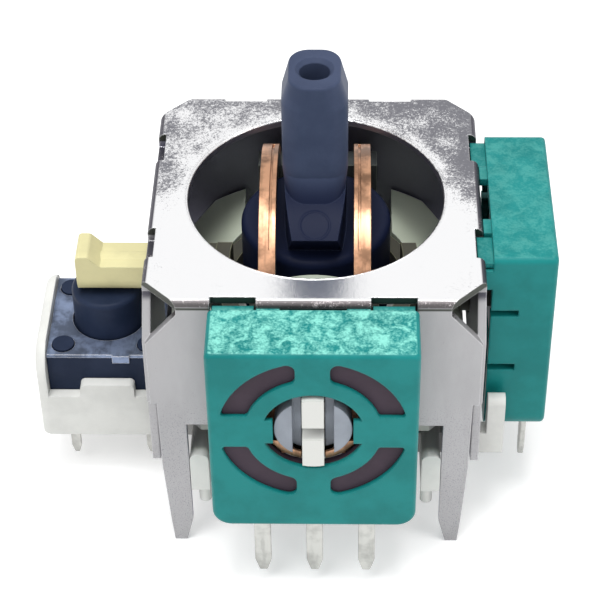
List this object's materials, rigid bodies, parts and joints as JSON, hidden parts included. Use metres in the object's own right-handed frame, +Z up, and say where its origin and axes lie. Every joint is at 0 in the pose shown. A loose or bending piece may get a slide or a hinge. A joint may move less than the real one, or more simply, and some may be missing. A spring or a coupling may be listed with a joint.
{
  "type": "controller analog stick",
  "caption": "Two-axis thumb stick module in a folded steel can, with rotary sensors on its front and right and a push switch on its left.",
  "frame": {"origin": "middle of the base's flat underside, where it seats on the circuit board, below the middle of the round opening", "axes": "+Z up along the stick at rest, -Y towards the front sensor, +X towards the right sensor, -X towards the push switch"},
  "size_m": [0.0253, 0.0196, 0.0232],
  "materials": {
    "steel_sheet": "bright tin-plated sheet with a mottled grain",
    "green_moulding": "satin green",
    "slate_moulding": "satin dark slate blue",
    "cream_moulding": "satin yellowish cream",
    "white_moulding": "satin off-white",
    "copper_strip": "polished copper alloy",
    "steel_wire": "bright",
    "tinned_terminal": "tin-plated",
    "brown_wafer": "dull dark plum brown",
    "grey_rotor": "satin grey",
    "switch_plate": "dark brushed"
  },
  "bodies": {
    "module": {"can_frame": "steel_sheet", "base": "white_moulding", "front_housing": "green_moulding", "front_wafer": "brown_wafer", "front_terminals": "tinned_terminal", "right_housing": "green_moulding", "right_wafer": "brown_wafer", "right_terminals": "tinned_terminal", "switch_case": "slate_moulding", "switch_cover": "switch_plate", "switch_dome": "steel_wire", "switch_terminals": "tinned_terminal", "return_spring": "steel_wire"},
    "upper_swing": {"upper_arm": "white_moulding", "rail_left": "copper_strip", "rail_right": "copper_strip", "front_rotor": "grey_rotor", "front_brush": "copper_strip"},
    "right_turn": {"right_rotor": "grey_rotor", "right_brush": "copper_strip"},
    "lower_swing": {"lower_arm": "cream_moulding", "pivot_pin": "steel_wire"},
    "stick": {"stick": "slate_moulding"},
    "disc": {"return_disc": "white_moulding"},
    "plunger": {"switch_plunger": "slate_moulding"}
  },
  "joints": [
    {"name": "tilt_front_back", "type": "hinge", "parent": "module", "child": "right_turn", "pos_m": [0, 0, 0.00855], "axis": [1, 0, 0], "range_deg": [-20, 20], "stiffness_Nm_per_rad": 0.02},
    {"name": "press", "type": "hinge", "parent": "right_turn", "child": "lower_swing", "pos_m": [0.009, 0, 0.00855], "axis": [0, -1, 0], "range_deg": [0, 0.88], "stiffness_Nm_per_rad": 0.1, "springref_deg": -2.86},
    {"name": "tilt_left_right", "type": "hinge", "parent": "lower_swing", "child": "stick", "pos_m": [0, 0, 0.00855], "axis": [0, 1, 0], "range_deg": [-20, 20], "stiffness_Nm_per_rad": 0.02},
    {"name": "upper_arm_turn", "type": "hinge", "parent": "module", "child": "upper_swing", "pos_m": [0, 0, 0.00855], "axis": [0, 1, 0], "range_deg": [-20, 20]},
    {"name": "disc_drop", "type": "slide", "parent": "module", "child": "disc", "axis": [0, 0, -1], "range_m": [0, 0.00014], "deforming": ["return_spring"]},
    {"name": "plunger_press", "type": "slide", "parent": "module", "child": "plunger", "axis": [0, 0, -1], "range_m": [0, 0.0003], "deforming": ["switch_dome"]}
  ],
  "couplings": [
    {"joint": "upper_arm_turn", "follows": "tilt_left_right", "ratio": 1},
    {"joint": "disc_drop", "follows": "press", "m_per_rad": 0.009},
    {"joint": "plunger_press", "follows": "press", "m_per_rad": 0.0195}
  ]
}
